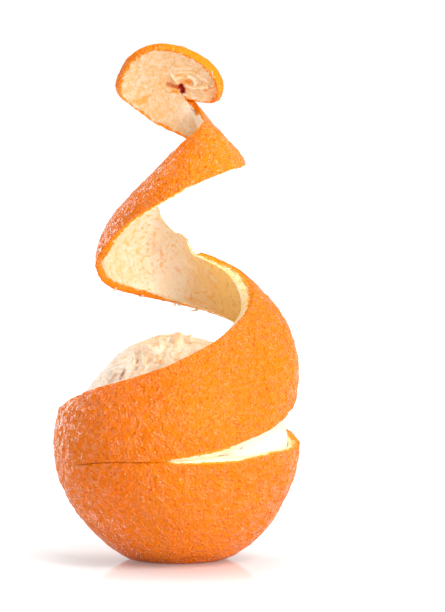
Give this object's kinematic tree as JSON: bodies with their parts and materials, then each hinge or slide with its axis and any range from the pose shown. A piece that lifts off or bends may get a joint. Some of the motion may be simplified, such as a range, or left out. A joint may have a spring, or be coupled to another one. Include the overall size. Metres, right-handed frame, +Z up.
{
  "type": "orange with spiral peel",
  "caption": "Whole orange with its peel cut in one continuous spiral: a bowl of peel round the fruit, and a ribbon that climbs above it to the stem end.",
  "frame": {"origin": "middle of the flat spot that the orange rests on, under the centre of the whole object's box", "axes": "+Z up, along the axis of the spiral; -Y is the side on which the ribbon's first turn rises across the fruit; azimuths run anticlockwise seen from above"},
  "size_m": [0.0808, 0.081, 0.1692],
  "materials": {
    "peel": "waxy dimpled orange zest outside, cream pith inside and on the cut edges",
    "fruit": "matt cream pith with fibres and small brown flecks"
  },
  "bodies": {
    "root": {"peel": "peel", "fruit": "fruit"}
  },
  "joints": []
}
